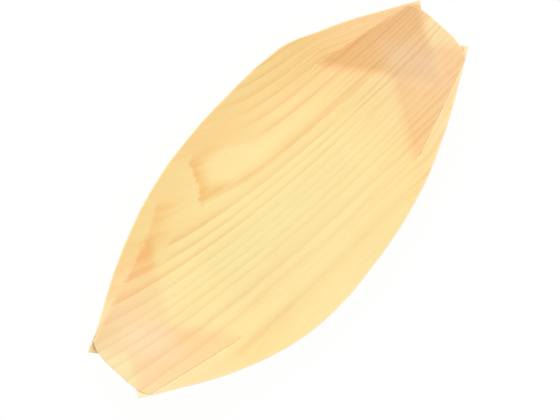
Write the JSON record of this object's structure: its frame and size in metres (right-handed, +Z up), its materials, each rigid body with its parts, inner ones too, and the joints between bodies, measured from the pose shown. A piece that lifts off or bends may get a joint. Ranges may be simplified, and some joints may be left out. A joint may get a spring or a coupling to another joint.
{
  "type": "wooden boat plate",
  "caption": "Boat-shaped serving plate folded from one slit sheet of wood veneer, its end tabs lapped and glued below turned-up tongues.",
  "frame": {"origin": "on the table, below the middle of the floor", "axes": "+X along the length to the bow, +Y to port, +Z up"},
  "size_m": [0.2158, 0.103, 0.0343],
  "materials": {
    "veneer": "bare, fine-grained, pale pine veneer",
    "glue": "dried clear glue film"
  },
  "bodies": {
    "root": {"veneer_sheet": "veneer", "bow_inner_bond": "glue", "bow_outer_bond": "glue", "stern_inner_bond": "glue", "stern_outer_bond": "glue"}
  },
  "joints": []
}
